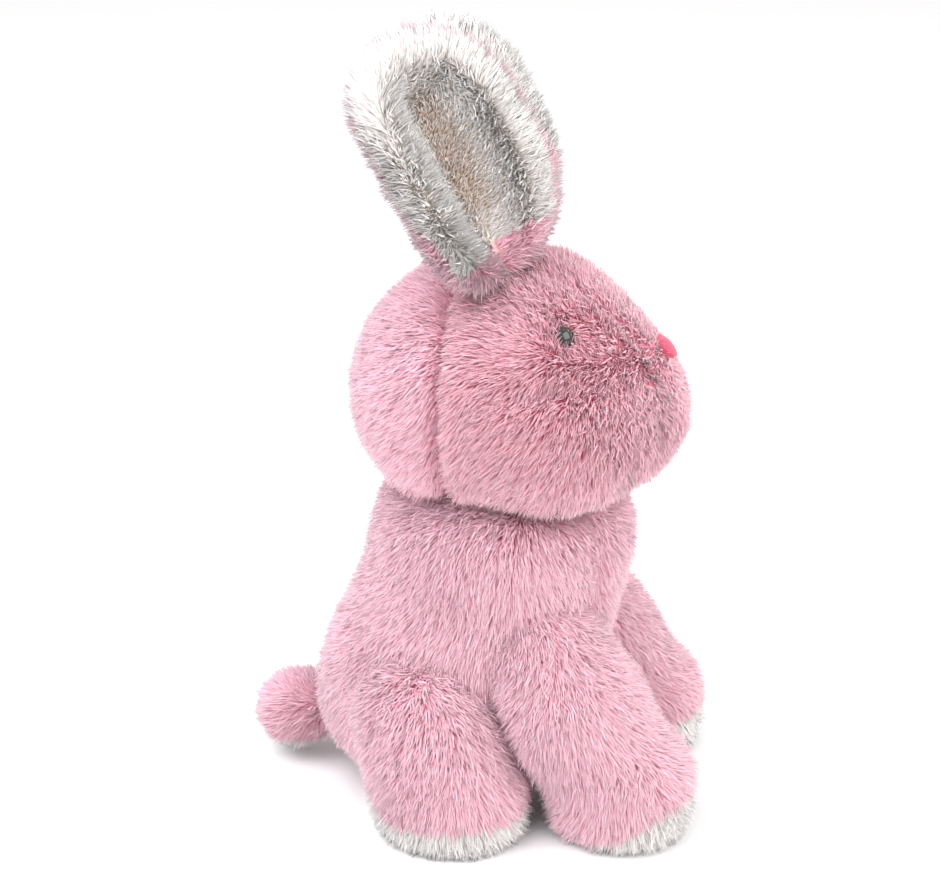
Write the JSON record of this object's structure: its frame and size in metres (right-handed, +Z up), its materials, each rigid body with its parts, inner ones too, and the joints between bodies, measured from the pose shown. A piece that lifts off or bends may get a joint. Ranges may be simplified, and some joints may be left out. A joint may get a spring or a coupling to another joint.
{
  "type": "sitting plush rabbit",
  "caption": "Sitting plush rabbit with long pile covers over stuffing, upright cupped ears, short splayed legs with pale soles and a round tail.",
  "frame": {"origin": "on the floor, under the middle of the rabbit's box", "axes": "+Z up, -Y the way the rabbit faces, +X to its left side; mirror symmetric about X = 0"},
  "size_m": [0.134, 0.185, 0.3002],
  "materials": {
    "pink_pile": "long pile",
    "face_pile": "long pile",
    "cream_pile": "long pile",
    "stuffing": "loose fibre",
    "nose_pink": "flocked",
    "eye_dark": "gloss",
    "washer_white": "plain"
  },
  "bodies": {
    "torso": {"body_panel_left": "pink_pile", "body_panel_right": "pink_pile", "belly_panel": "pink_pile", "seat_panel": "pink_pile", "body_stuffing": "stuffing"},
    "neck": {"neck_stuffing": "stuffing"},
    "head": {"head_back_left": "pink_pile", "head_back_right": "pink_pile", "face_panel_left": "face_pile", "face_panel_right": "face_pile", "forehead_gusset": "face_pile", "chin_panel": "face_pile", "head_stuffing": "stuffing", "nose": "nose_pink", "nose_washer": "washer_white", "eye_left": "eye_dark", "eye_right": "eye_dark", "eye_washer_left": "washer_white", "eye_washer_right": "washer_white"},
    "tail": {"tail_top": "pink_pile", "tail_underside": "cream_pile", "tail_stuffing": "stuffing"},
    "ear_left": {"ear_outer_left": "pink_pile", "ear_inner_left": "cream_pile"},
    "front_leg_left": {"front_leg_sleeve_left": "pink_pile", "front_leg_stuffing_left": "stuffing", "front_sole_left": "cream_pile"},
    "rear_leg_left": {"rear_leg_sleeve_left": "pink_pile", "rear_leg_stuffing_left": "stuffing", "rear_sole_left": "cream_pile"},
    "ear_right": {"ear_outer_right": "pink_pile", "ear_inner_right": "cream_pile"},
    "front_leg_right": {"front_leg_sleeve_right": "pink_pile", "front_leg_stuffing_right": "stuffing", "front_sole_right": "cream_pile"},
    "rear_leg_right": {"rear_leg_sleeve_right": "pink_pile", "rear_leg_stuffing_right": "stuffing", "rear_sole_right": "cream_pile"}
  },
  "joints": [
    {"name": "head_turn", "type": "hinge", "parent": "torso", "child": "neck", "pos_m": [0, -0.008, 0.168], "axis": [0, 0, 1], "range_deg": [-20, 20], "stiffness_Nm_per_rad": 0.6},
    {"name": "head_nod", "type": "hinge", "parent": "neck", "child": "head", "pos_m": [0, -0.008, 0.168], "axis": [1, 0, 0], "range_deg": [-8, 10], "stiffness_Nm_per_rad": 1},
    {"name": "ear_left_fold", "type": "hinge", "parent": "head", "child": "ear_left", "pos_m": [0.02396, -0.01399, 0.22191], "axis": [1, 0, 0], "range_deg": [-25, 30], "stiffness_Nm_per_rad": 0.08},
    {"name": "front_leg_left_swing", "type": "hinge", "parent": "torso", "child": "front_leg_left", "pos_m": [0.027, -0.028, 0.07], "axis": [1, 0, 0], "range_deg": [-15, 5], "stiffness_Nm_per_rad": 1},
    {"name": "rear_leg_left_swing", "type": "hinge", "parent": "torso", "child": "rear_leg_left", "pos_m": [0.036, 0.012, 0.046], "axis": [1, 0, 0], "range_deg": [-10, 6], "stiffness_Nm_per_rad": 1},
    {"name": "ear_right_fold", "type": "hinge", "parent": "head", "child": "ear_right", "pos_m": [-0.02396, -0.01399, 0.22191], "axis": [1, 0, 0], "range_deg": [-25, 30], "stiffness_Nm_per_rad": 0.08},
    {"name": "front_leg_right_swing", "type": "hinge", "parent": "torso", "child": "front_leg_right", "pos_m": [-0.027, -0.028, 0.07], "axis": [1, 0, 0], "range_deg": [-15, 5], "stiffness_Nm_per_rad": 1},
    {"name": "rear_leg_right_swing", "type": "hinge", "parent": "torso", "child": "rear_leg_right", "pos_m": [-0.036, 0.012, 0.046], "axis": [1, 0, 0], "range_deg": [-10, 6], "stiffness_Nm_per_rad": 1},
    {"name": "tail_wag", "type": "hinge", "parent": "torso", "child": "tail", "pos_m": [0, 0.057, 0.02], "axis": [0, 0, 1], "range_deg": [-25, 25], "stiffness_Nm_per_rad": 0.02}
  ]
}
